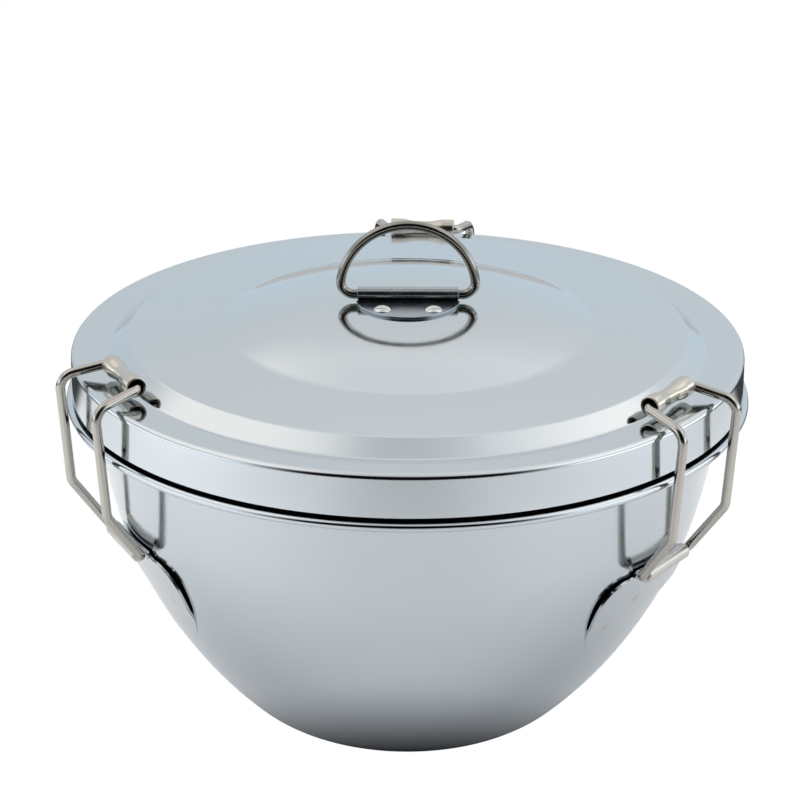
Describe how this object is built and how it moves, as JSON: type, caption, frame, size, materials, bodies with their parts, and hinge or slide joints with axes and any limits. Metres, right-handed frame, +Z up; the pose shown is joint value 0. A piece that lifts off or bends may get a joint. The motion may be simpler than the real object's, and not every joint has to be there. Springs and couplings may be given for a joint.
{
  "type": "pudding steamer",
  "caption": "Round lidded steel pudding basin: tapered bowl with a beaded rim, pressed domed lid held down by hinged wire clips, and a folding ring handle on top.",
  "frame": {"origin": "centre of the bowl's flat base, on the table", "axes": "+Z up along the bowl's axis; +X along the ring handle's hinge line; -Y towards the side with the handle bracket"},
  "size_m": [0.209, 0.2132, 0.1603],
  "materials": {
    "satin_steel": "drawn stainless sheet, satin",
    "polished_steel": "pressed stainless sheet, mirror polished",
    "bracket_steel": "stamped stainless sheet, polished",
    "wire_steel": "drawn stainless wire, bright",
    "sleeve_steel": "crimped stainless tube, bright",
    "rivet_steel": "domed steel rivet, bright",
    "ring_steel": "bent stainless wire, bright"
  },
  "bodies": {
    "bowl": {"bowl": "satin_steel", "clip_bracket_left": "bracket_steel", "clip_bracket_right": "bracket_steel", "clip_bracket_back": "bracket_steel"},
    "lid": {"lid": "polished_steel", "handle_bracket": "bracket_steel", "handle_rivets": "rivet_steel"},
    "handle": {"handle_ring": "ring_steel"},
    "clip_left": {"clip_wire_left": "wire_steel", "clip_sleeve_left": "sleeve_steel"},
    "clip_right": {"clip_wire_right": "wire_steel", "clip_sleeve_right": "sleeve_steel"},
    "clip_back": {"clip_wire_back": "wire_steel", "clip_sleeve_back": "sleeve_steel"}
  },
  "joints": [
    {"name": "lid_turn", "type": "hinge", "parent": "bowl", "child": "lid", "pos_m": [0, 0, 0.121], "axis": [0, 0, 1], "continuous": true},
    {"name": "handle_fold", "type": "hinge", "parent": "lid", "child": "handle", "pos_m": [0, 0, 0.13671], "axis": [1, 0, 0], "range_deg": [-90, 90]},
    {"name": "clip_left_swing", "type": "hinge", "parent": "bowl", "child": "clip_left", "pos_m": [-0.08431, -0.03931, 0.072], "axis": [0.4226, -0.9063, 0], "range_deg": [0, 160]},
    {"name": "clip_right_swing", "type": "hinge", "parent": "bowl", "child": "clip_right", "pos_m": [0.0762, -0.05336, 0.072], "axis": [0.5736, 0.8192, 0], "range_deg": [0, 160]},
    {"name": "clip_back_swing", "type": "hinge", "parent": "bowl", "child": "clip_back", "pos_m": [0.00487, 0.0929, 0.072], "axis": [-0.9986, 0.0523, 0], "range_deg": [0, 160]}
  ]
}
